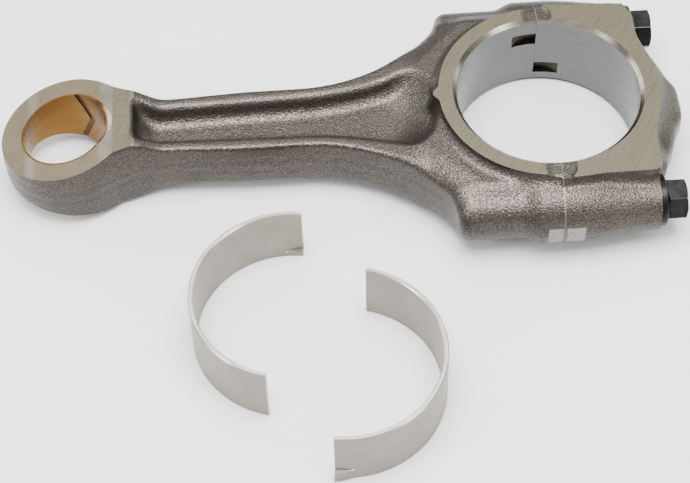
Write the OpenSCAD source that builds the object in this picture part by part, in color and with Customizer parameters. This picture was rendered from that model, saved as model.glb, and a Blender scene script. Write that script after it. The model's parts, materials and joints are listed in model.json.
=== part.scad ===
// Connecting rod with a fracture-split big end, a bushed and tapered small end,
// two cap bolts with washers, and the two loose bearing shells that belong in it.
// Origin: centre of the small-end bore at mid-width. +X runs to the big end,
// +Z is along both bores, and the rod lies flat on its big-end face.

/* [Rod] */
// Distance between the two bore centres
centre_distance = 153; // [148:0.5:165]
// Width of the big end between its machined faces
big_end_width = 29; // [27:0.5:31]
// Width of the small end where its taper starts
small_end_width = 25.5; // [23:0.5:27]
// Angle of each tapered small-end face, in degrees
small_end_taper = 12.5; // [6:0.5:14]
// Height of the beam across its flanges
beam_height = 18; // [16:0.5:20]
// Width of the beam at its narrowest place
beam_neck_width = 22.6; // [21:0.2:25]
// Thickness of the web between the two pockets
web_thickness = 6.4; // [4:0.2:9]

/* [Big end] */
// Diameter of the bore that holds the bearing shells
big_bore_d = 58; // [55:0.5:60]
// Diameter of the raised thrust ring around the bore
thrust_ring_d = 69.5; // [67:0.5:72]
// Width of the chamfer at each edge of the big bore
bore_chamfer = 0.9; // [0.4:0.1:1.5]
// Distance between the two bolt axes
bolt_spacing = 71.6; // [71:0.2:74]
// Distance from the split plane to the bolt seats
seat_distance = 30.3; // [28:0.1:34]
// Clearance between the two fractured faces
split_gap = 0.05; // [0.02:0.01:0.2]

/* [Small end] */
// Outside diameter of the small-end eye
eye_d = 41.6; // [38:0.2:44]
// Inside diameter of the bush, for the piston pin
pin_bore_d = 27; // [24:0.5:29]
// Wall of the bush
bush_wall = 0.6; // [0.4:0.1:2]

/* [Bolts] */
// Nominal diameter of the bolt
bolt_d = 8; // [7:0.5:9]
// Size of the hexagon across its flats
hex_flats = 12; // [10:0.5:13]
// Height of the hexagon
hex_height = 6.2; // [5:0.2:8]
// Outside diameter of the washer
washer_d = 16.4; // [15:0.2:18]
// Thickness of the washer
washer_thickness = 2; // [1.5:0.1:3]
// Length of thread inside the rod
thread_engagement = 24; // [18:0.5:26]

/* [Bearing shells] */
// Width of each shell
shell_width = 21.4; // [18:0.2:24]
// Wall of each shell
shell_wall = 1.5; // [1.2:0.1:2.5]
// Outside diameter of a loose shell, a little wider than the bore
shell_free_d = 60.6; // [58:0.2:61]

/* [Hidden] */
$fn = 96;

FORGED = [0.47, 0.45, 0.42];
BRONZE = [0.72, 0.52, 0.28];
BLACK_STEEL = [0.12, 0.12, 0.12];
SHELL_GREY = [0.72, 0.70, 0.67];

big_x = centre_distance;
half_width = big_end_width / 2;
big_r = big_bore_d / 2;
bolt_y = bolt_spacing / 2;
thrust_ring_r = thrust_ring_d / 2;
boss_r = 9.3;                  // half-round boss around each bolt
swell_r = 11.6;                // the boss is thicker where the split crosses it
swell_half = 6;                // half length of that thicker part
seat_x = big_x + seat_distance;
over = 1;                      // how far a cutter runs past a face
reach = 60;                    // longer than any cut is deep
shell_floor = -half_width;     // the shells stand on the surface the rod lies on

// Small end: the taper starts at the crease and falls away towards the tip
eye_r = eye_d / 2;
eye_half = small_end_width / 2;
crease_x = 15.5;
hub_end_x = 21;
bush_r = pin_bore_d / 2 + bush_wall;

// Beam: a straight taper from the neck, then a flare of constant radius
neck_half = beam_neck_width / 2;
neck_fillet = 40;
neck_x = sqrt(pow(eye_r + neck_fillet, 2) - pow(neck_half + neck_fillet, 2));
beam_widening = 0.9;           // gained by each half width from the neck to the flare
root_half = neck_half + beam_widening;
flare_r = 50;
flare_x = big_x - 76;
beam_half = beam_height / 2;
shoulder_x = big_x - 32;       // end face of the bolt bosses
shoulder_half = 38;
collar_r = 40;                 // lower step around the thrust ring
collar_half = 12;

// Pocket in each side of the beam
web_half = web_thickness / 2;
pocket_rail = 3.8;
pocket_x = hub_end_x + 0.4;
pocket_neck_half = neck_half - pocket_rail;
pocket_root_half = pocket_neck_half + beam_widening;
pocket_flare_r = 90;
pocket_end_x = big_x - 36;
pocket_end_half = 14.5;
lap = 0.1;                     // the two lengths of the pocket overlap by this much

// Split plane: a low valley crosses the rings where the rod was fractured
valley_half = 5;
valley_depth = 0.6;
valley_start_y = big_r - 2;

// Locating slots for the tangs of the shells
tang_width = 4.4;
tang_height = 1.5;
tang_length = 6;
slot_width = 4.8;
slot_depth = 1.8;
slot_cutter_r = 12.4;
rod_slot_z = 6;
cap_slot_z = -8;

// Bolts
bolt_r = bolt_d / 2;
washer_gap = 0.05;             // play under the washer and under the head
washer_x = seat_x + washer_gap;
head_x = washer_x + washer_thickness + washer_gap;
shank_length = head_x - big_x + thread_engagement;
thread_clearance = 0.05;
tap_run_out = 2;               // the hole goes this far past the end of the bolt
cap_hole_r = bolt_r + 0.3;
washer_hole_r = bolt_r + 0.1;
bearing_face = 0.4;            // round face under the hexagon
bearing_face_r = hex_flats / 2 - 0.1;
head_turn = 7.3;               // how far a corner of each hexagon lies from +Y

// Cap: its machined face, and a crown rib at mid-height with a flat pad
face_y = bolt_y - 0.8;
face_end = seat_distance + 0.7;
face_corner_r = 5;
cap_ring_r = thrust_ring_r + 0.85;
spot_face_r = washer_d / 2 + 4.4;
crown_r = 45.8;
crown_shift = 4.5;             // the crown's centre lies this far short of the bore's
crown_half = 5;
crown_side = 27;
crown_start_x = big_x + 20;
pad_x = big_x + 43.2;
pad_half = 7.8;

// Shells: where each stands, and how both are turned
shell_r = shell_free_d / 2;
shell_turn = -13;
shell_trim = 1.7;              // each shell ends this far short of a half circle
upper_shell_at = [67.6, -66.5];
lower_shell_at = [82.6, -88.2];

module both_sides() {
    children();
    mirror([0, 0, 1]) children();
}

module both_flanks() {
    children();
    mirror([0, 1, 0]) children();
}

// A cylinder along +X that starts at x, on the bolt axis of one flank
module along_bolt(side, x, length, radius) {
    translate([x, side * bolt_y, 0]) rotate([0, 90, 0]) cylinder(h = length, r = radius);
}

module eye_outline() {
    circle(eye_r);
    difference() {
        translate([0, -eye_r]) square([neck_x, 2 * eye_r]);
        both_flanks() translate([neck_x, neck_half + neck_fillet]) circle(neck_fillet, $fn = 180);
        both_flanks() difference() {
            square([neck_fillet_start(), eye_r + over]);
            circle(eye_r);
        }
    }
}

// Where the neck fillet touches the round eye
function neck_fillet_start() = neck_x * eye_r / (eye_r + neck_fillet);

module beam_outline() {
    polygon([[0, -neck_half], [neck_x, -neck_half], [flare_x, -root_half], [big_x, -root_half],
             [big_x, root_half], [flare_x, root_half], [neck_x, neck_half], [0, neck_half]]);
    difference() {
        translate([flare_x, -shoulder_half]) square([big_x - flare_x, 2 * shoulder_half]);
        both_flanks() translate([flare_x, root_half + flare_r]) circle(flare_r, $fn = 180);
    }
}

module pocket_outline() {
    difference() {
        union() {
            polygon([[pocket_x, -pocket_neck_half], [flare_x, -pocket_root_half],
                     [flare_x, pocket_root_half], [pocket_x, pocket_neck_half]]);
            difference() {
                translate([flare_x - lap, -pocket_end_half])
                    square([pocket_end_x - flare_x + lap, 2 * pocket_end_half]);
                both_flanks() translate([flare_x, pocket_root_half + pocket_flare_r])
                    circle(pocket_flare_r, $fn = 360);
            }
        }
        translate([big_x, 0]) circle(thrust_ring_r);
    }
}

// Everything beyond a face that slopes down from the crease to the tip
module taper_cut() {
    translate([crease_x, 0, eye_half]) rotate([0, -small_end_taper, 0])
        translate([-reach, -reach / 2, 0]) cube([reach, reach, reach]);
}

module big_bore_cut() {
    translate([big_x, 0, -half_width - over]) cylinder(h = big_end_width + 2 * over, r = big_r);
    both_sides() translate([big_x, 0, half_width - bore_chamfer])
        cylinder(h = bore_chamfer + over, r1 = big_r, r2 = big_r + bore_chamfer + over);
}

// One side of the valley that the split crosses, on both flanks and both faces
module valley_cut(start_x) {
    both_sides() both_flanks()
        translate([start_x, valley_start_y, half_width - valley_depth])
            cube([valley_half + over, bolt_y, valley_depth + over]);
}

module tang_slot(z, start_x) {
    intersection() {
        translate([big_x, big_r + slot_depth - slot_cutter_r, z - slot_width / 2])
            cylinder(h = slot_width, r = slot_cutter_r);
        translate([start_x, big_r - slot_cutter_r / 2, z - slot_width])
            cube([slot_cutter_r, slot_cutter_r, 2 * slot_width]);
    }
}

module rod_body() {
    color(FORGED) difference() {
        union() {
            translate([0, 0, -eye_half]) linear_extrude(small_end_width) intersection() {
                eye_outline();
                translate([hub_end_x - reach, -reach / 2]) square(reach);
            }
            translate([0, 0, -beam_half]) linear_extrude(beam_height) union() {
                eye_outline();
                beam_outline();
            }
            translate([0, 0, -collar_half]) linear_extrude(2 * collar_half) intersection() {
                translate([big_x, 0]) circle(collar_r);
                beam_outline();
            }
            translate([big_x, 0, -half_width]) cylinder(h = big_end_width, r = thrust_ring_r);
            for (side = [-1, 1]) {
                along_bolt(side, shoulder_x, big_x - shoulder_x, boss_r);
                along_bolt(side, big_x - swell_half, swell_half, swell_r);
            }
        }
        both_sides() taper_cut();
        both_sides() translate([0, 0, web_half]) linear_extrude(reach) pocket_outline();
        translate([0, 0, -reach / 2]) cylinder(h = reach, r = bush_r);
        big_bore_cut();
        translate([big_x - split_gap / 2, -reach, -reach / 2]) cube([reach, 2 * reach, reach]);
        valley_cut(big_x - valley_half);
        tang_slot(rod_slot_z, big_x - slot_cutter_r);
        for (side = [-1, 1])
            along_bolt(side, big_x - thread_engagement - tap_run_out, reach,
                       bolt_r + thread_clearance);
    }
}

module cap_face_outline() {
    corner_x = face_end - face_corner_r;
    corner_y = face_y - face_corner_r;
    intersection() {
        circle(cap_ring_r);
        translate([0, -cap_ring_r]) square([cap_ring_r, 2 * cap_ring_r]);
    }
    translate([0, -face_y]) square([corner_x, 2 * face_y]);
    translate([0, -corner_y]) square([face_end, 2 * corner_y]);
    both_flanks() translate([corner_x, corner_y]) circle(face_corner_r);
}

module crown() {
    intersection() {
        translate([big_x - crown_shift, 0, -crown_half]) cylinder(h = 2 * crown_half, r = crown_r);
        translate([crown_start_x, -crown_side, -crown_half - over])
            cube([reach, 2 * crown_side, 2 * (crown_half + over)]);
    }
    translate([crown_start_x, -pad_half, -crown_half])
        cube([pad_x - crown_start_x, 2 * pad_half, 2 * crown_half]);
}

module rod_cap() {
    color(FORGED) difference() {
        union() {
            translate([big_x, 0, -half_width]) linear_extrude(big_end_width) cap_face_outline();
            for (side = [-1, 1]) {
                along_bolt(side, big_x, face_end, boss_r);
                along_bolt(side, big_x, swell_half, swell_r);
            }
            crown();
        }
        big_bore_cut();
        translate([big_x + split_gap / 2 - reach, -reach, -reach / 2]) cube([reach, 2 * reach, reach]);
        valley_cut(big_x - over);
        tang_slot(cap_slot_z, big_x);
        for (side = [-1, 1]) {
            along_bolt(side, big_x - over, reach, cap_hole_r);
            along_bolt(side, seat_x, reach, spot_face_r);
        }
    }
}

module small_end_bush() {
    color(BRONZE) difference() {
        translate([0, 0, -eye_half]) cylinder(h = small_end_width, r = bush_r);
        translate([0, 0, -reach / 2]) cylinder(h = reach, r = pin_bore_d / 2);
        both_sides() taper_cut();
    }
}

module cap_bolt(side) {
    color(BLACK_STEEL) {
        along_bolt(side, head_x - shank_length, shank_length + hex_height / 2, bolt_r);
        along_bolt(side, head_x, 2 * bearing_face, bearing_face_r);
        translate([head_x + bearing_face, side * bolt_y, 0])
            rotate([0, 90, 0]) rotate([0, 0, 90 + head_turn])
                cylinder(h = hex_height, r = hex_flats / sqrt(3), $fn = 6);
    }
}

module bolt_washer(side) {
    color(BLACK_STEEL) difference() {
        along_bolt(side, washer_x, washer_thickness, washer_d / 2);
        along_bolt(side, washer_x - over, washer_thickness + 2 * over, washer_hole_r);
    }
}

// A half-round shell around the origin, its arc on the side that arc_side names (-1 or 1),
// with its tang near the lower edge at the end that end_side names
module bearing_shell(arc_side, end_side, tang_z) {
    difference() {
        union() {
            translate([0, 0, shell_floor]) cylinder(h = shell_width, r = shell_r);
            intersection() {
                translate([0, 0, tang_z - tang_width / 2])
                    cylinder(h = tang_width, r = shell_r + tang_height);
                translate([arc_side > 0 ? 0 : -tang_length, end_side > 0 ? 0 : -reach, -reach / 2])
                    cube([tang_length, reach, reach]);
            }
        }
        translate([0, 0, -reach / 2]) cylinder(h = reach, r = shell_r - shell_wall);
        translate([arc_side > 0 ? shell_trim - reach : -shell_trim, -reach, -reach / 2])
            cube([reach, 2 * reach, reach]);
    }
}

// Turns a shell and stands it on the surface in front of the rod
module stand_at(place) {
    translate([place[0], place[1], 0]) rotate([0, 0, shell_turn]) children();
}

module upper_bearing_shell() {
    color(SHELL_GREY) stand_at(upper_shell_at)
        bearing_shell(-1, 1, shell_floor + shell_width / 2 - rod_slot_z);
}

module lower_bearing_shell() {
    color(SHELL_GREY) stand_at(lower_shell_at)
        bearing_shell(1, -1, shell_floor + shell_width / 2 + cap_slot_z);
}

rod_body();
rod_cap();
small_end_bush();
cap_bolt(-1);  // near_cap_bolt
cap_bolt(1);  // far_cap_bolt
bolt_washer(-1);  // near_bolt_washer
bolt_washer(1);  // far_bolt_washer
upper_bearing_shell();
lower_bearing_shell();
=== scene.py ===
"""Looks of the connecting rod: forged body and cap, bush, bolts, washers and bearing shells.

The forged skin is one smooth implicit surface, worked out on a grid and then machined
with exact cuts: bores, thrust faces, tapered eye, bolt seats, tang slots and the fracture.
Shapes are worked out in millimetres and turned into metres when a mesh is made.
"""
import itertools
import json
import math

import bmesh
import bpy
import numpy as np
from mathutils import Matrix, Vector


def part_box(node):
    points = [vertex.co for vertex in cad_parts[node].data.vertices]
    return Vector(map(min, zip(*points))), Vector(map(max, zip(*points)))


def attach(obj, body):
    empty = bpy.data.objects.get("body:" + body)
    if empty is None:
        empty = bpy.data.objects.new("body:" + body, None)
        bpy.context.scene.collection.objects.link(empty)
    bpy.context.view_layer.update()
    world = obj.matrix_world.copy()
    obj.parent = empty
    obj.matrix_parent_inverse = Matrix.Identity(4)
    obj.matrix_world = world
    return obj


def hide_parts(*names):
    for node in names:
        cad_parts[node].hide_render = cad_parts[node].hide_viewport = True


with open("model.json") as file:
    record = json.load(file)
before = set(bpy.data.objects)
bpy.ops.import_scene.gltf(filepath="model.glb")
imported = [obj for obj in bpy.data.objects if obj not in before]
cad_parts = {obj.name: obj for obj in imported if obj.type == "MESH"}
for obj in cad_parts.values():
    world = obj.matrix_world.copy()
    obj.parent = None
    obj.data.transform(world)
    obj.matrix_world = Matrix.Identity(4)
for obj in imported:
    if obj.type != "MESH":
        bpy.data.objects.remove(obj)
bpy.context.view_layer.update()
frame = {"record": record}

MM = 0.001
mounts = {m["name"]: m for m in frame["record"]["mounts"]}


def box_mm(node):
    """Lowest and highest corner of a CAD node, in millimetres."""
    low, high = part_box(node)
    return low / MM, high / MM


# ---------------------------------------------------------------- sizes, in millimetres
# From the CAD
big_x = mounts["crank_bore"]["pos_m"][0] / MM
big_r = mounts["crank_bore"]["dims"]["r_mm"]
pin_r = mounts["pin_bore"]["dims"]["r_mm"]
half_width = box_mm("rod_body")[1].z
washer_low, washer_high = box_mm("far_bolt_washer")
bolt_y = (washer_low.y + washer_high.y) / 2
washer_r = (washer_high.z - washer_low.z) / 2
washer_x = washer_low.x
contact_gap = 0.05            # parts that touch are drawn this far apart
seat_x = washer_x - contact_gap
head_x = washer_high.x + contact_gap
shank_start = box_mm("far_cap_bolt")[0].x
head_end = box_mm("far_cap_bolt")[1].x
bush_r = box_mm("small_end_bush")[1].x

# The big end and the cap
bore_chamfer = 1.25
ring_r = 34.75                # raised thrust ring on the rod half
cap_ring_r = 35.6             # the same ring on the cap half
face_y = 35.0                 # half width of the machined face on the cap
face_end_x = big_x + 31.0     # where that face ends, just past the bolt seats
crown_back, crown_r, crown_half, crown_up = 4.5, 45.7, 29, 5.4    # rib round the cap
pad_reach, pad_half = 42.4, 7.6       # pad in the middle of the rib
point_r = 1.9                 # small point of the ring towards the web
valley_half, valley_depth = 4.6, 0.6  # valley across the rings at the split
boss_r = 9.0                  # half-round bosses over the bolts
boss_swell = 2.3              # how much they swell where the fracture crosses them
shoulder_x = big_x - 32.5     # where the bosses begin
bolt_hole_r, tapped_hole_r = 4.3, 4.05
seat_cutter_r = 12.6
slot_width, slot_depth, slot_cutter_r = 4.8, 1.8, 12.4    # seats for the shells' tangs

# The small end
eye_r = 20.2
eye_face = 12.75              # half width of the eye at the crease
crease_x = 15.5               # where the flat beside the eye meets its tapered face
taper = math.radians(12.5)
cone_low, cone_high = 10.8, 14.0      # heights between which the bush's chamfer is given
eye_cone = (12.6, 17.1)               # its radii at those two heights

# The beam
web_half = 2.8                # half thickness of the web at the bottom of the pockets
beam_half = 8.6               # half height of the rails
hub_rise, flare_rise = 4.39, 2.6      # how much higher the rails are at each end
neck_x, neck_half, neck_fillet = 31.5, 11.3, 40.0     # narrowest place, half width there
root_x, root_half = 60.0, 12.4        # half width where the neck has widened
flare_x, flare_r = big_x - 79, 57.0   # arc that widens the beam into the big end
widest_half = 36.5
rail_edge_r, pocket_edge_r = 1.1, 1.5
pocket_x, pocket_half = 22, 6.5       # half width of the pockets where they start
pocket_growth, pocket_flare_r = 1.4, 105      # they widen evenly, then along an arc
pocket_slope = 0.38           # how far the pocket's walls lean out, per mm of height
pocket_fillet, hub_fillet = 2.8, 6.5
bowl_x, bowl_r = big_x - 53.2, 17     # bowl at the big end of each pocket
bowl_flat_r = 4.7             # radius of the bowl's flat bottom
draft = 0.06                  # how far the flanks lean in, per mm of height
ring_draft, block_draft = 0.10, 0.14
flash_step = 0.12             # the flanks stand back this much where the flash was trimmed
eye_blank, big_blank = 14, 16         # half heights of the ends before they are milled

# The grid on which the forging is worked out
grid_low, grid_high, grid_step = (-24.1, -51.3), (200, 51, 18), 0.75

# ---------------------------------------------------------------- the forged skin


def round_and(a, b, radius):
    """Intersection of two distance fields with a rounded edge."""
    corner = np.hypot(np.maximum(radius + a, 0), np.maximum(radius + b, 0))
    return np.minimum(-radius, np.maximum(a, b)) + corner


def round_or(a, b, radius):
    """Union of two distance fields with a fillet where they meet."""
    corner = np.hypot(np.maximum(radius - a, 0), np.maximum(radius - b, 0))
    return np.maximum(radius, np.minimum(a, b)) - corner


def ramp(x, start, end):
    """Smooth step from 0 at start to 1 at end."""
    t = np.clip((x - start) / (end - start), 0, 1)
    return t * t * (3 - 2 * t)


def arc_rise(distance, radius):
    """Height gained by an arc that leaves a straight line, this far along the line."""
    d = np.clip(distance, 0, 0.95 * radius)
    return radius - np.sqrt(radius**2 - d**2)


def beam_half_width(x):
    straight = neck_half + (root_half - neck_half) * ramp(x, neck_x, root_x)
    flared = straight + arc_rise(neck_x - x, neck_fillet) + arc_rise(x - flare_x, flare_r)
    return np.minimum(flared, widest_half)


def pocket_half_width(x):
    straight = pocket_half + pocket_growth * (x - pocket_x) / (flare_x - pocket_x)
    return straight + arc_rise(x - flare_x, pocket_flare_r)


def forging(x, y, z):
    """Distance field of the rod and cap as forged, in millimetres, negative inside."""
    side = np.abs(y)
    up = np.abs(z)
    from_eye = np.hypot(x, y)
    from_big = np.hypot(x - big_x, y)
    parting = flash_step * ramp(up, 2.3, 4.1) - flash_step

    # Blank of the beam, which is higher at both ends and widens into the big end
    height = beam_half + hub_rise * ramp(x, 32, 20.5) + flare_rise * ramp(x, 96, 121)
    outside = np.maximum(side - np.maximum(17, x - 96), 0)
    height = height - 0.28 * outside**2 / (outside + 3) * ramp(x, 104, 116)
    slope = beam_half_width(x + 0.5) - beam_half_width(x - 0.5)
    flank = (side - beam_half_width(x) - parting + draft * up) / np.sqrt(1 + slope**2)
    body = round_and(flank, up - height, rail_edge_r + 1.9 * ramp(x, 95, 120))
    tangent_x = neck_x * eye_r / (eye_r + neck_fillet)
    body = np.maximum(body, np.maximum(tangent_x - x, x - big_x - 1))

    # Pocket in each face, whose floor curves up at both ends
    pocket_side = side - pocket_half_width(x) + pocket_slope * (beam_half - up)
    from_bowl = np.hypot(np.maximum(x - bowl_x, 0), y)
    floor_up = web_half + arc_rise(from_bowl - bowl_flat_r, bowl_r) * ramp(x, 92, 110)
    ends = round_and(floor_up - up, 21.4 + 0.22 * (eye_face - up) - x, hub_fillet)
    pocket = round_and(pocket_side, ends, pocket_fillet)
    pocket = round_and(pocket, ring_r + 0.6 - from_big, 3.0)
    body = round_and(body, -pocket, pocket_edge_r)

    # Small-end eye
    eye = from_eye - eye_r - 0.55 - parting + draft * up
    eye = np.maximum(eye, up - eye_blank)
    body = round_or(body, eye, 1.0)

    # Half-round bosses for the bolts, swollen where the fracture crosses them
    swell = boss_swell * ramp(x, big_x - 13, big_x - 6) * (1 - ramp(x, big_x + 3, seat_x))
    boss = np.hypot(side - bolt_y, z) - boss_r - swell - parting
    boss = round_and(boss, shoulder_x - x, 4.0)
    boss = np.maximum(boss, x - seat_x - 1)
    body = round_or(body, boss, 3.0)

    # Thrust ring on the rod half, with a small point where it meets the web
    wall = ring_draft * (half_width - up)
    ring = from_big - ring_r - wall
    point = np.hypot(x - big_x + ring_r - 0.1, y - 0.8) - point_r - wall
    ring = round_or(ring, point, 1.5)
    ring = np.maximum(ring, np.maximum(x - big_x, up - big_blank))
    body = round_or(body, ring, 3.0)

    # Cap: a block whose top is the machined face, the ring, and the crown rib with its pad
    corner_r = np.where(y < 0, 3.5, 7.0)
    block_side = side - face_y - block_draft * (half_width - up)
    block = round_and(block_side, x - face_end_x, corner_r)
    cap = round_or(block, from_big - cap_ring_r - wall, 2.5)
    cap = np.maximum(cap, np.maximum(big_x - x, up - big_blank))
    rib = np.maximum(np.hypot(x - big_x + crown_back, y) - crown_r, side - crown_half)
    pad = round_and(x - big_x - pad_reach, side - pad_half, 3.5)
    rib = round_or(rib, pad, 4.0)
    rib = round_and(rib, up - crown_up, 3.0)
    rib = np.maximum(rib, big_x + 15 - x)
    cap = round_or(cap, rib, 7.0)
    body = round_or(body, cap, 1.8)

    # Valley across the rings at the split
    reach = valley_half * np.clip((38.8 - side) / 5.5, 0, 1) + 1.5 * (up - half_width + 0.2)
    valley = np.maximum(np.abs(x - big_x) - reach, half_width - valley_depth - up)
    return round_and(body, -valley, 0.4)


def grid_surface(field, low, high, step):
    """Vertices and quads of the zero surface of a field that is symmetric in z."""
    xs = np.arange(low[0], high[0], step)
    ys = np.arange(low[1], high[1], step)
    zs = np.arange(0, high[2], step)
    values = field(*np.meshgrid(xs, ys, zs, indexing="ij"))
    values = np.concatenate([values[:, :, :0:-1], values], axis=2)
    inside = values < 0
    origin = np.array([xs[0], ys[0], -zs[-1]])

    # One vertex in each cell that the surface crosses
    corners = list(itertools.product((0, 1), repeat=3))
    cells = [n - 1 for n in values.shape]

    def corner_block(array, corner):
        i, j, k = corner
        return array[i:i + cells[0], j:j + cells[1], k:k + cells[2]]

    filled = sum(corner_block(inside, c).astype(np.int8) for c in corners)
    mixed = (filled > 0) & (filled < 8)
    index = np.full(cells, -1, np.int64)
    index[mixed] = np.arange(mixed.sum())
    at_corner = [corner_block(values, c)[mixed] for c in corners]
    total = np.zeros((mixed.sum(), 3))
    count = np.zeros(mixed.sum())
    for (a, near), (b, far) in itertools.combinations(enumerate(corners), 2):
        near, far = np.array(near), np.array(far)
        if np.abs(near - far).sum() > 1:
            continue
        crossed = (at_corner[a] < 0) != (at_corner[b] < 0)
        drop = np.where(crossed, at_corner[a] - at_corner[b], 1)
        share = np.where(crossed, at_corner[a] / drop, 0)
        total += crossed[:, None] * (near + share[:, None] * (far - near))
        count += crossed
    vertices = origin + step * (np.argwhere(mixed) + total / count[:, None])

    # One quad round each grid edge that crosses the surface
    quads = []
    for axis in range(3):
        here = [slice(1, -1)] * 3
        ahead = list(here)
        ahead[axis] = slice(2, None)
        crossing = np.argwhere(inside[tuple(here)] != inside[tuple(ahead)]) + 1
        u, v = [a for a in range(3) if a != axis]
        around = []
        for du, dv in ((0, 0), (-1, 0), (-1, -1), (0, -1)):
            cell = crossing.copy()
            cell[:, u] += du
            cell[:, v] += dv
            around.append(index[tuple(cell.T)])
        quads.append(np.stack(around, axis=1))
    return vertices, np.concatenate(quads)


def pull_to_surface(field, points, rounds=3):
    """Moves points along the field's gradient until they lie on its zero surface."""
    eps = 0.02
    for _ in range(rounds):
        x, y, z = points.T
        gradient = np.stack([
            field(x + eps, y, z) - field(x - eps, y, z),
            field(x, y + eps, z) - field(x, y - eps, z),
            field(x, y, z + eps) - field(x, y, z - eps)], axis=1) / (2 * eps)
        steepness = np.maximum((gradient**2).sum(1), 0.25)
        move = np.clip(field(x, y, z) / steepness, -0.3, 0.3)
        points = points - gradient * move[:, None]
    return points


# ---------------------------------------------------------------- materials

# Material slots of the rod and the cap, in the order of their list of materials
FORGED, MILLED, EYE, HONED, CHAMFER, SEAT, SLOT, FRACTURE = range(8)


class Nodes:
    """Short calls that add and link shader nodes in one material."""

    def __init__(self, name):
        self.material = bpy.data.materials.new(name)
        self.material.use_nodes = True
        self.tree = self.material.node_tree
        self.shader = self.tree.nodes["Principled BSDF"]
        self.place = self.add("ShaderNodeTexCoord").outputs["Object"]

    def add(self, kind, inputs=None, **settings):
        node = self.tree.nodes.new(kind)
        for key, value in settings.items():
            setattr(node, key, value)
        for key, value in (inputs or {}).items():
            self.set(node.inputs[key], value)
        return node

    def set(self, socket, value):
        if isinstance(value, bpy.types.NodeSocket):
            self.tree.links.new(value, socket)
        else:
            socket.default_value = value

    def math(self, operation, a, b=0.0):
        return self.add("ShaderNodeMath", {0: a, 1: b}, operation=operation).outputs[0]

    def noise(self, size_mm, detail=4.0, roughness=0.5, place=None):
        node = self.add("ShaderNodeTexNoise", {
            "Vector": place or self.place, "Scale": 1 / (size_mm * MM),
            "Detail": detail, "Roughness": roughness})
        return node.outputs["Fac"]

    def stretched(self, scale):
        """The object's coordinates, scaled by a different amount along each axis."""
        return self.add("ShaderNodeMapping", {"Vector": self.place, "Scale": scale}).outputs[0]

    def spread(self, value, low, high, to_low=0.0, to_high=1.0):
        node = self.add("ShaderNodeMapRange", {
            "Value": value, "From Min": low, "From Max": high,
            "To Min": to_low, "To Max": to_high})
        return node.outputs["Result"]

    def blend(self, factor, first, second):
        node = self.add("ShaderNodeMix", {0: factor, 6: first, 7: second}, data_type="RGBA")
        return node.outputs[2]

    def bump(self, height, depth_mm, strength=1.0, under=None):
        node = self.add("ShaderNodeBump", {
            "Height": height, "Distance": depth_mm * MM, "Strength": strength})
        if under is not None:
            self.set(node.inputs["Normal"], under)
        return node.outputs["Normal"]

    def finish(self, color, roughness, metallic, normal):
        self.set(self.shader.inputs["Base Color"], color)
        self.set(self.shader.inputs["Roughness"], roughness)
        self.set(self.shader.inputs["Metallic"], metallic)
        self.set(self.shader.inputs["Normal"], normal)
        return self.material


def rgb(red, green, blue):
    """A linear colour from display values of 0 to 255."""
    linear = [((c / 255 + 0.055) / 1.055) ** 2.4 for c in (red, green, blue)]
    return (*linear, 1.0)


def between(n, value, low, high, blur):
    """1 where a value lies between two limits, fading over the blur at each."""
    rise = n.spread(value, low - blur, low + blur)
    fall = n.spread(value, high - blur, high + blur, 1.0, 0.0)
    return n.math("MULTIPLY", rise, fall)


def forged_material():
    """Shot-blasted forging, with a painted highlight along the line of the fracture and two dabs
    of paint.
    """
    n = Nodes("forged_skin")
    patches = n.noise(12, detail=3)
    grain = n.noise(0.5, detail=1, roughness=0.5)
    cells = n.add("ShaderNodeTexVoronoi", {"Vector": n.place, "Scale": 1 / (0.6 * MM)})
    dimples = cells.outputs["Distance"]
    tone = n.blend(n.spread(patches, 0.3, 0.7), rgb(61, 57, 52), rgb(70, 65, 60))
    tone = n.blend(n.spread(grain, 0.3, 0.5), rgb(50, 46, 42), tone)
    tone = n.blend(n.spread(grain, 0.5, 0.72), tone, rgb(84, 79, 74))
    rough = n.spread(grain, 0.3, 0.7, 0.42, 0.28)
    normal = n.bump(dimples, 0.1, 0.6)
    normal = n.bump(grain, 0.24, 0.85, normal)

    x, y, z = n.add("ShaderNodeSeparateXYZ", {0: n.place}).outputs
    wobble = n.spread(n.noise(5, detail=3), 0.0, 1.0, -0.3 * MM, 0.3 * MM)
    ragged = n.math("ADD", x, wobble)
    # Thin band painted lighter along the fracture line: a painted highlight of the split's edge
    split = between(n, ragged, (big_x - 0.09) * MM, (big_x + 0.09) * MM, 0.07 * MM)
    tone = n.blend(n.math("MULTIPLY", split, 0.7), tone, rgb(150, 146, 138))

    flank = n.math("MULTIPLY", between(n, z, -5.2 * MM, 2.6 * MM, 0.3 * MM),
                   between(n, y, -60 * MM, -42 * MM, 0.3 * MM))
    dabs = n.math("ADD", between(n, ragged, (big_x - 5) * MM, (big_x - 0.5) * MM, 0.25 * MM),
                  between(n, ragged, (big_x + 0.6) * MM, (big_x + 6.4) * MM, 0.25 * MM))
    worn = n.spread(n.noise(1.2, detail=4), 0.3, 0.42)
    paint = n.math("MULTIPLY", n.math("MULTIPLY", flank, dabs), worn)
    tone = n.blend(n.math("MULTIPLY", paint, 0.85), tone, rgb(120, 118, 113))
    metal = n.spread(paint, 0.0, 1.0, 0.95, 0.1)
    return n.finish(tone, rough, metal, normal)


def fracture_material():
    """The torn, crystalline face where the cap was cracked off the rod."""
    n = Nodes("fracture_face")
    grain = n.noise(0.5, detail=4, roughness=0.7)
    patches = n.noise(4, detail=3)
    tone = n.blend(n.spread(grain, 0.3, 0.7), rgb(62, 60, 57), rgb(112, 109, 104))
    rough = n.spread(patches, 0.3, 0.7, 0.42, 0.6)
    normal = n.bump(patches, 0.6, 0.7)
    return n.finish(tone, rough, 0.9, n.bump(grain, 0.3, 0.9, normal))


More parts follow.
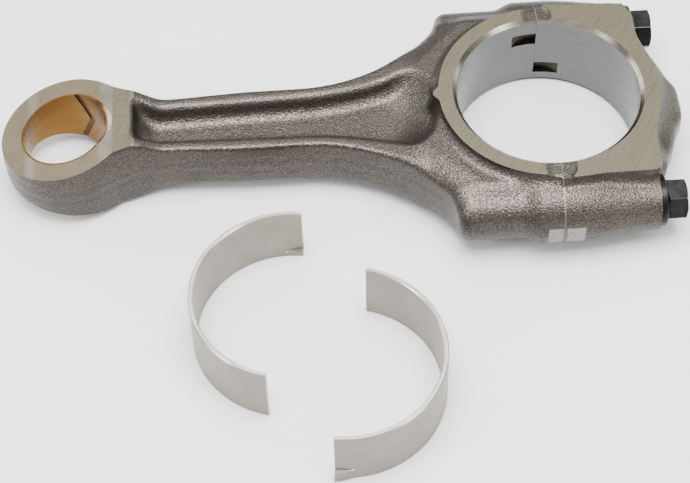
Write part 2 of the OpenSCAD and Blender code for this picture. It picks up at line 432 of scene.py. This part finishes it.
def milled_material(name, degrees, light, dark, roughness, line_depth, rubbed_sheen_strips=()):
    """Fine cutter lines along one direction of the face, over a fine grain.

    Strips painted lighter across the rod, rubbed bands whose colour also carries a painted
    reflection, are given as (from, to) places along it.
    """
    n = Nodes(name)
    across = n.add("ShaderNodeMapping", {
        "Vector": n.place, "Rotation": (0, 0, math.radians(degrees - 90)), "Scale": (1, 25, 25)},
        vector_type="TEXTURE").outputs[0]
    lines = n.noise(0.5, detail=2, roughness=0.6, place=across)
    grain = n.noise(0.5, detail=2, roughness=0.6)
    wear = n.noise(7, detail=3)
    tone = n.blend(n.spread(grain, 0.3, 0.7), dark, light)
    tone = n.blend(n.spread(lines, 0.35, 0.5, 0.6, 0.0), tone, dark)
    along = n.math("ADD", n.add("ShaderNodeSeparateXYZ", {0: n.place}).outputs[0],
                   n.spread(wear, 0.0, 1.0, -1.2 * MM, 1.2 * MM))
    # Strips painted lighter: partly rubbed wear, partly a painted reflection
    for start, end in rubbed_sheen_strips:
        rubbed_sheen = n.math("MULTIPLY", between(n, along, start * MM, end * MM, 0.9 * MM), 0.36)
        tone = n.blend(rubbed_sheen, tone, rgb(136, 135, 131))
    rough = n.spread(wear, 0.3, 0.7, roughness - 0.06, roughness + 0.08)
    normal = n.bump(grain, 0.06, 0.7)
    return n.finish(tone, rough, 0.95, n.bump(lines, line_depth, 0.7, normal))


def turned_material(name, light, dark, roughness):
    """Fine lines around the bore's axis, as left by honing or boring."""
    n = Nodes(name)
    rings = n.noise(0.3, detail=2, roughness=0.6, place=n.stretched((0.02, 0.02, 1)))
    wear = n.noise(8, detail=3)
    tone = n.blend(n.spread(rings, 0.3, 0.7), dark, light)
    rough = n.spread(wear, 0.3, 0.7, roughness - 0.04, roughness + 0.08)
    return n.finish(tone, rough, 1.0, n.bump(rings, 0.006, 0.5))


def black_material():
    n = Nodes("black_oxide")
    grain = n.noise(0.4, detail=3)
    wear = n.noise(3, detail=4)
    tone = n.blend(n.spread(wear, 0.35, 0.75), rgb(24, 24, 25), rgb(44, 43, 42))
    rough = n.spread(grain, 0.3, 0.7, 0.3, 0.45)
    return n.finish(tone, rough, 0.97, n.bump(grain, 0.03, 0.4))


def shell_material(name, tone_light, tone_dark, roughness, metallic):
    n = Nodes(name)
    lines = n.noise(0.25, detail=3, roughness=0.6, place=n.stretched((0.05, 0.05, 1)))
    clouds = n.noise(7, detail=4)
    tone = n.blend(n.spread(clouds, 0.3, 0.7), tone_dark, tone_light)
    streaks = n.noise(1.2, detail=3, place=n.stretched((1, 1, 0.06)))
    tone = n.blend(n.spread(streaks, 0.4, 0.6, 0.3, 0.0), tone, tone_dark)
    rough = n.spread(lines, 0.3, 0.7, roughness - 0.05, roughness + 0.08)
    return n.finish(tone, rough, metallic, n.bump(lines, 0.015, 0.5))


forged = forged_material()
fractured = fracture_material()
milled = milled_material("milled_face", 62, rgb(104, 98, 84), rgb(80, 75, 62), 0.38, 0.035)
# The eye's face, with two strips painted lighter as a painted reflection on rubbed bands
ground = milled_material("ground_eye_face", 70, rgb(119, 109, 90), rgb(104, 94, 77), 0.38, 0.012,
                         rubbed_sheen_strips=((-12.2, -9.4), (11.3, 15.0)))
seat = milled_material("spot_face", 20, rgb(122, 119, 112), rgb(96, 93, 86), 0.34, 0.03)
# Tang slots painted dark: painted shade for the recess
slot_shade = milled_material("milled_slot_painted_shade", 0, rgb(56, 52, 42), rgb(38, 35, 28), 0.3, 0.02)
honed = turned_material("honed_bore", rgb(106, 106, 107), rgb(94, 94, 95), 0.24)
chamfered = turned_material("bore_chamfer", rgb(128, 123, 112), rgb(104, 100, 90), 0.24)
# Corner strips of the bolt heads, painted lighter: wear and a painted highlight on the edges
worn = turned_material("worn_glint_edge", rgb(92, 90, 84), rgb(68, 66, 61), 0.3)
bronze = turned_material("bush_bronze", rgb(122, 87, 41), rgb(100, 69, 29), 0.26)
# Darker bronze for the floors of the grooves
groove_dark_bronze = turned_material("groove_bronze", rgb(78, 50, 24), rgb(60, 38, 17), 0.34)
black = black_material()
shell_back = shell_material("shell_face", rgb(136, 130, 121), rgb(124, 118, 109), 0.4, 0.9)
shell_rim = shell_material("shell_rim", rgb(178, 176, 170), rgb(152, 149, 143), 0.3, 0.9)

# ---------------------------------------------------------------- mesh helpers


def mesh_object(name, vertices, faces, materials, face_materials=None):
    """An object from points in millimetres, with outward normals."""
    mesh = bpy.data.meshes.new(name)
    places = (np.asarray(vertices, float) * MM).tolist()
    mesh.from_pydata(places, [], [[int(i) for i in face] for face in faces])
    for m in materials:
        mesh.materials.append(m)
    if face_materials is not None:
        mesh.polygons.foreach_set("material_index", np.asarray(face_materials, np.int32))
    bm = bmesh.new()
    bm.from_mesh(mesh)
    bmesh.ops.recalc_face_normals(bm, faces=bm.faces)
    bm.to_mesh(mesh)
    bm.free()
    obj = bpy.data.objects.new(name, mesh)
    bpy.context.collection.objects.link(obj)
    return obj


def shade(obj, degrees=32):
    obj.data.polygons.foreach_set("use_smooth", [True] * len(obj.data.polygons))
    obj.data.set_sharp_from_angle(angle=math.radians(degrees))


def polar_point(along, radius, angle, centre=(0, 0, 0), axis="z"):
    """The point at this angle and radius round an axis, "x" or "z"."""
    a, b = radius * math.cos(angle), radius * math.sin(angle)
    point = (along, a, b) if axis == "x" else (a, b, along)
    return [p + c for p, c in zip(point, centre)]


def grid_faces(rows, columns, close_rows=False, close_columns=True):
    """Quads of a grid of points listed row by row; each direction can close into a loop."""
    faces = []
    for i in range(rows if close_rows else rows - 1):
        here, ahead = i * columns, (i + 1) % rows * columns
        for j in range(columns if close_columns else columns - 1):
            k = (j + 1) % columns
            faces.append((here + j, here + k, ahead + k, ahead + j))
    return faces


def tube_faces(rows, columns):
    """Faces of a solid given as closed loops of points, with a face over each end."""
    ends = [tuple(range(columns)), tuple(range((rows - 1) * columns, rows * columns))]
    return grid_faces(rows, columns) + ends


def lathe(name, profile, centre, axis, materials, segments=96):
    """Turns a closed profile of (along, radius) points round an axis."""
    vertices = [polar_point(along, radius, 2 * math.pi * i / segments, centre, axis)
                for i in range(segments) for along, radius in profile]
    faces = grid_faces(segments, len(profile), close_rows=True)
    return mesh_object(name, vertices, faces, materials)


def cutter(vertices, rows, slot):
    """A solid to cut with, given as closed loops of points; its faces take one slot."""
    faces = tube_faces(rows, len(vertices) // rows)
    return mesh_object("cutter", vertices, faces, [], [slot] * len(faces))


def solid_cylinder(along_low, along_high, r_low, r_high, centre, axis, slot, segments=192):
    """A cutter: a cylinder or a cone."""
    vertices = [polar_point(along, radius, 2 * math.pi * i / segments, centre, axis)
                for along, radius in ((along_low, r_low), (along_high, r_high))
                for i in range(segments)]
    return cutter(vertices, 2, slot)


def rectangle(x_from, x_to, z_from, z_to):
    return [(x_from, z_from), (x_to, z_from), (x_to, z_to), (x_from, z_to)]


def prism(outline, slot, half_length=60):
    """A cutter: an outline of (x, z) points, extruded along y past both sides of the rod."""
    vertices = [(x, y, z) for y in (-half_length, half_length) for x, z in outline]
    return cutter(vertices, 2, slot)


def cut(obj, tool):
    """Takes a cutter's volume away from an object; the cut faces take the cutter's slot."""
    for material in obj.data.materials:
        tool.data.materials.append(material)
    modifier = obj.modifiers.new("cut", "BOOLEAN")
    modifier.operation = "DIFFERENCE"
    modifier.object = tool
    modifier.solver = "MANIFOLD"
    graph = bpy.context.evaluated_depsgraph_get()
    mesh = bpy.data.meshes.new_from_object(obj.evaluated_get(graph))
    obj.modifiers.remove(modifier)
    old = obj.data
    obj.data = mesh
    bpy.data.meshes.remove(old)
    bpy.data.meshes.remove(tool.data)


# ---------------------------------------------------------------- rod and cap

points, quads = grid_surface(forging, grid_low, grid_high, grid_step)
points = pull_to_surface(forging, points)
steel_slots = [forged, milled, ground, honed, chamfered, seat, slot_shade, fractured]
steel = mesh_object("steel", points, quads, steel_slots, [FORGED] * len(quads))

# Where the cutters end, clear of the rod
past_eye, past_cap, past_face = -40, 230, 30
eye_flats_end, thrust_faces_start = 40, 60
seat_length, hole_length = 30, 70


def taper_wedge(sign):
    """Outline of what is cut away above (or below) the tapered face of the eye."""
    drop = (crease_x - past_eye) * math.tan(taper)
    return [(past_eye, sign * (eye_face - drop)), (crease_x, sign * eye_face),
            (crease_x, sign * past_face), (past_eye, sign * past_face)]


for sign in (-1, 1):
    # The flat beside the eye, then the tapered face of the eye
    flat = rectangle(past_eye, eye_flats_end, sign * eye_face, sign * past_face)
    cut(steel, prism(flat, MILLED))
    cut(steel, prism(taper_wedge(sign), EYE))
    thrust_face = rectangle(thrust_faces_start, past_cap, sign * half_width, sign * past_face)
    cut(steel, prism(thrust_face, MILLED))
    cut(steel, solid_cylinder(sign * (half_width - bore_chamfer), sign * (half_width + 1),
                              big_r, big_r + bore_chamfer + 1, (big_x, 0, 0), "z", CHAMFER))
    cut(steel, solid_cylinder(seat_x, seat_x + seat_length, seat_cutter_r, seat_cutter_r,
                              (0, sign * bolt_y, 0), "x", SEAT))
    cut(steel, solid_cylinder(sign * cone_low, sign * cone_high, *eye_cone,
                              (0, 0, 0), "z", CHAMFER))
for place_x, radius in ((big_x, big_r), (0, bush_r)):
    cut(steel, solid_cylinder(-past_face, past_face, radius, radius,
                              (place_x, 0, 0), "z", HONED))


def half(name, sign, slot_z, hole_start, hole_r):
    """One side of the split: the rod for sign -1, or the cap for sign 1."""
    obj = steel.copy()
    obj.data = steel.data.copy()
    obj.name = name
    bpy.context.collection.objects.link(obj)
    split_x = big_x + sign * contact_gap / 2
    whole_length = 400            # more than the length of the rod
    other_half = rectangle(split_x, big_x - sign * whole_length, -40, 40)
    cut(obj, prism(other_half, FRACTURE))
    cut(obj, solid_cylinder(slot_z - slot_width / 2, slot_z + slot_width / 2,
                            slot_cutter_r, slot_cutter_r,
                            (big_x, big_r + slot_depth - slot_cutter_r, 0), "z", SLOT))
    for side in (-1, 1):
        cut(obj, solid_cylinder(hole_start, hole_start + hole_length, hole_r, hole_r,
                                (0, side * bolt_y, 0), "x", SEAT, segments=48))
    shade(obj)
    return obj


rod = half("forged_rod", -1, slot_z=6.0, hole_start=shank_start - 2, hole_r=tapped_hole_r)
cap = half("forged_cap", 1, slot_z=-8.0, hole_start=big_x - 10, hole_r=bolt_hole_r)
bpy.data.objects.remove(steel)
for obj, body, node in ((rod, "rod", "rod_body"), (cap, "cap", "rod_cap")):
    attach(obj, body)
    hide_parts(node)

# ---------------------------------------------------------------- bush

BUSH_BORE, BUSH_GROOVE = range(2)
bush = lathe("bush", [(-eye_blank, pin_r), (eye_blank, pin_r), (eye_blank, bush_r),
                      (-eye_blank, bush_r)],
             (0, 0, 0), "z", [bronze, groove_dark_bronze], segments=160)


def oil_groove(start, end):
    """A cutter for a groove across the bush's wall, between two (angle, height) points."""
    half_groove, depth, rows = 0.9, 0.3, 13
    start, end = np.array(start), np.array(end)
    round_way, up_way = pin_r * (end[0] - start[0]), end[1] - start[1]
    length = np.hypot(round_way, up_way)
    across = np.array([-up_way / pin_r, round_way]) * half_groove / length
    inside, bottom = pin_r - 1, pin_r + depth
    vertices = []
    for share in np.linspace(-0.04, 1, rows):
        middle = start + share * (end - start)
        for edge, radius in ((-1, inside), (1, inside), (1, bottom), (-1, bottom)):
            angle, height = middle + edge * across
            vertices.append(polar_point(height, radius, angle))
    return cutter(vertices, rows, BUSH_GROOVE)


# Two grooves run from the middle of the bush's wall to its two faces
groove_start, groove_end, groove_height = math.radians(55), math.radians(77), 12.0
for sign in (-1, 1):
    cut(bush, prism(taper_wedge(sign), BUSH_BORE))
    cut(bush, solid_cylinder(sign * cone_low, sign * cone_high, *eye_cone,
                             (0, 0, 0), "z", BUSH_BORE))
    cut(bush, oil_groove((groove_start, 0), (groove_end, sign * groove_height)))
shade(bush)
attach(bush, "rod")
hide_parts("small_end_bush")

# ---------------------------------------------------------------- bolts and washers


def hexagon_head(name, side):
    """A hexagon head with a chamfered crown, a dished top and corners painted lighter, as wear
    and as a painted highlight.
    """
    flat_r, collar, dish = 6.0, 0.4, 0.35
    rim_r = 0.97 * flat_r
    base_x, top_x = head_x + collar, head_end
    turned = math.radians(7.3)
    reach = math.radians(29.2)        # half of each flat; a narrow strip, painted lighter as wear and as a painted highlight, joins two flats
    steps = 12                        # points across each flat
    vertices = []
    for facet in range(6):
        for from_flat in np.linspace(-reach, reach, steps):
            angle = turned + facet * math.pi / 3 + from_flat + math.radians(30)
            r = flat_r / math.cos(from_flat)
            chamfer = (r - rim_r) * math.tan(math.radians(30))
            profile = [(head_x, flat_r - 0.35), (base_x, flat_r - 0.1),
                       (base_x + 0.3 * (r - flat_r), r), (top_x - chamfer, r),
                       (top_x, rim_r - 0.5), (top_x - dish, rim_r - 1.6)]
            vertices += [polar_point(x, radius, angle, (0, side * bolt_y, 0), "x")
                         for x, radius in profile]
    rows, columns = 6 * steps, len(profile)
    faces = grid_faces(rows, columns, close_rows=True, close_columns=False)
    # Strips at the corners take the lighter colour: wear and a painted highlight
    worn_glint_edge = [j == 2 and i % steps == steps - 1
                 for i in range(rows) for j in range(columns - 1)]
    faces.append(tuple(i * columns + columns - 1 for i in range(rows)))
    faces.append(tuple(i * columns for i in range(rows)))
    return mesh_object(name, vertices, faces, [black, worn], worn_glint_edge + [False, False])


def threaded_shank(name, side):
    """Plain shank with a rolled thread of 1.25 mm pitch at its end."""
    pitch, thread_length, outer_r, depth = 1.25, 24.0, 3.97, 0.62
    segments = 48
    thread_end = shank_start + thread_length
    stations = [shank_start, *np.arange(shank_start + 0.8, thread_end, pitch / 6),
                thread_end + 0.8, head_x - 1.2, head_x]
    vertices = []
    for x in stations:
        for i in range(segments):
            turn = i / segments
            phase = ((x - shank_start) / pitch - turn) % 1
            tooth = 1 - abs(2 * phase - 1)
            if x == shank_start:
                r = outer_r - depth - 0.2
            elif x < thread_end:
                r = outer_r - depth * tooth
            else:
                r = outer_r - 0.1
            vertices.append(polar_point(x, r, 2 * math.pi * turn, (0, side * bolt_y, 0), "x"))
    return mesh_object(name, vertices, tube_faces(len(stations), segments), [black])


for label, side in (("near", -1), ("far", 1)):
    head = hexagon_head(label + "_bolt_head", side)
    shank = threaded_shank(label + "_bolt_shank", side)
    for piece in (head, shank):
        shade(piece, 25)
        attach(piece, label + "_bolt")
        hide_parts(label + "_cap_bolt")
    edge, hole_r = 0.3, 4.15
    top_x = washer_high.x
    profile = [(washer_x, hole_r), (washer_x, washer_r - edge), (washer_x + edge, washer_r),
               (top_x - edge, washer_r), (top_x, washer_r - edge), (top_x, hole_r)]
    ring = lathe(label + "_washer", profile, (0, side * bolt_y, 0), "x", [black])
    shade(ring, 25)
    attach(ring, label + "_washer")
    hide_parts(label + "_bolt_washer")

# ---------------------------------------------------------------- bearing shells


def bearing_shell(name, node, body, arc_side, tang_z):
    """A half-round shell with chamfered edges and a pressed-out tang at one end."""
    low, high = box_mm(node)
    turn = math.radians(-13)
    outer, wall, edge = 30.3, 1.5, 0.3
    tang_half, tang_length, tang_lift = 2.2, 6.0, 1.45
    short = math.asin(1.7 / outer)    # a loose shell is a little less than a half circle
    reach_y = outer * math.cos(turn - short)
    if arc_side < 0:
        centre = (low.x + outer, low.y + reach_y, 0)
    else:
        centre = (high.x - outer, high.y - reach_y, 0)
    inner = outer - wall
    lining = inner + 0.4          # where the lining meets the steel back

    # Cross-section as (radius, z): the back, the upper rim, the bore and the lower rim
    tang_low, tang_high = low.z + tang_z - tang_half, low.z + tang_z + tang_half
    back_z = [low.z + edge, tang_low - 0.05, tang_low, tang_high, tang_high + 0.05,
              high.z - edge]
    profile = [(outer, z) for z in back_z]
    profile += [(outer - edge, high.z), (lining, high.z), (inner + edge, high.z)]
    profile += [(inner, z) for z in reversed(back_z)]
    profile += [(inner + edge, low.z), (lining, low.z), (outer - edge, low.z)]
    count = len(profile)
    rim_from, rim_to = len(back_z) - 1, len(back_z) + 2

    # Places along the arc, close together near the two ends; the tang is at the first
    start = (math.pi / 2 if arc_side < 0 else -math.pi / 2) + short
    arc_length = (math.pi - 2 * short) * outer
    near_end = [0.6 * i for i in range(13)]
    stations = [*near_end, *np.linspace(9, arc_length - 9, 90),
                *(arc_length - s for s in reversed(near_end))]
    vertices = []
    for s in stations:
        angle = start + s / outer + turn
        lift = tang_lift * max(1 - s / tang_length, 0.0)
        for radius, z in profile:
            r = radius + lift if tang_low <= z <= tang_high else radius
            vertices.append(polar_point(z, r, angle, centre))
    faces = tube_faces(len(stations), count)
    on_rim = [rim_from <= j <= rim_to or j >= count - 4
              for i in range(len(stations) - 1) for j in range(count)]
    obj = mesh_object(name, vertices, faces, [shell_back, shell_rim], on_rim + [True, True])
    shade(obj, 25)
    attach(obj, body)
    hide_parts(node)


bearing_shell("upper_shell", "upper_bearing_shell", "upper_shell", arc_side=-1, tang_z=4.5)
bearing_shell("lower_shell", "lower_bearing_shell", "lower_shell", arc_side=1, tang_z=2.5)

# ---------------------------------------------------------------- floor, light and camera


def floor_material():
    n = Nodes("pale_floor")
    clouds = n.noise(60, detail=2)
    tone = n.blend(clouds, rgb(190, 190, 190), rgb(194, 194, 194))
    return n.finish(tone, 0.6, 0.0, n.bump(n.noise(2), 0.02, 0.1))


floor_half = 2000
floor_corners = [(x * floor_half, y * floor_half, -half_width)
                 for x, y in ((-1, -1), (1, -1), (1, 1), (-1, 1))]
floor = mesh_object("floor", floor_corners, [(0, 1, 2, 3)], [floor_material()])


def area_light(name, place, target, size, power):
    light = bpy.data.lights.new(name, "AREA")
    light.shape = "RECTANGLE"
    light.size, light.size_y = size
    light.energy = power
    obj = bpy.data.objects.new(name, light)
    obj.location = place
    obj.rotation_euler = (Vector(target) - Vector(place)).to_track_quat("-Z", "Y").to_euler()
    bpy.context.collection.objects.link(obj)


middle = (0.09, -0.03, 0)
area_light("top_softbox", (0.09, -0.12, 0.75), middle, (0.6, 0.5), 27)
area_light("back_card", (0.09, 0.62, 0.78), middle, (1.1, 0.6), 5.5)
area_light("left_back_card", (-0.75, 0.55, 0.3), middle, (0.6, 0.4), 6)
area_light("right_back_card", (0.9, 0.55, 0.3), middle, (0.6, 0.4), 5)
area_light("front_card", (0.09, -1.0, 0.22), middle, (1.6, 0.36), 3)
area_light("left_strip", (-0.6, -0.3, 0.4), middle, (0.2, 0.25), 4)
area_light("right_strip", (0.7, -0.45, 0.42), middle, (0.2, 0.25), 4)


def studio_world():
    """A room that is bright overhead and dimmer towards the horizon."""
    world = bpy.data.worlds.new("studio")
    world.use_nodes = True
    tree = world.node_tree
    place = tree.nodes.new("ShaderNodeTexCoord").outputs["Generated"]
    split = tree.nodes.new("ShaderNodeSeparateXYZ")
    tree.links.new(place, split.inputs[0])
    level = tree.nodes.new("ShaderNodeMapRange")
    level.interpolation_type = "SMOOTHSTEP"
    for key, value in (("From Min", 0.25), ("From Max", 1.0), ("To Min", 0.45), ("To Max", 1.2)):
        level.inputs[key].default_value = value
    tree.links.new(split.outputs[2], level.inputs["Value"])
    background = tree.nodes["Background"]
    background.inputs["Color"].default_value = (1, 1, 1, 1)
    tree.links.new(level.outputs[0], background.inputs["Strength"])
    bpy.context.scene.world = world


studio_world()

# The camera looks down at the rod from in front, with a slight turn and roll
elevation, azimuth, roll = (math.radians(a) for a in (52.71, -3.01, -1.23))
back = Vector((math.sin(azimuth) * math.cos(elevation), -math.cos(azimuth) * math.cos(elevation),
               math.sin(elevation)))
aim = Vector((89.42, -33.12, 0)) * MM
distance = 607.3 * MM
level = Vector((0, 0, 1)).cross(back).normalized()
upward = back.cross(level)
right = math.cos(roll) * level + math.sin(roll) * upward
up = math.cos(roll) * upward - math.sin(roll) * level
camera_data = bpy.data.cameras.new("camera")
camera_data.lens = 102.2
camera_data.sensor_width = 36
camera_data.shift_x = -0.0151
camera_data.shift_y = -0.0424
camera = bpy.data.objects.new("camera", camera_data)
facing = Matrix((right, up, back)).transposed().to_4x4()
camera.matrix_world = Matrix.Translation(aim + distance * back) @ facing
bpy.context.collection.objects.link(camera)
bpy.context.scene.camera = camera
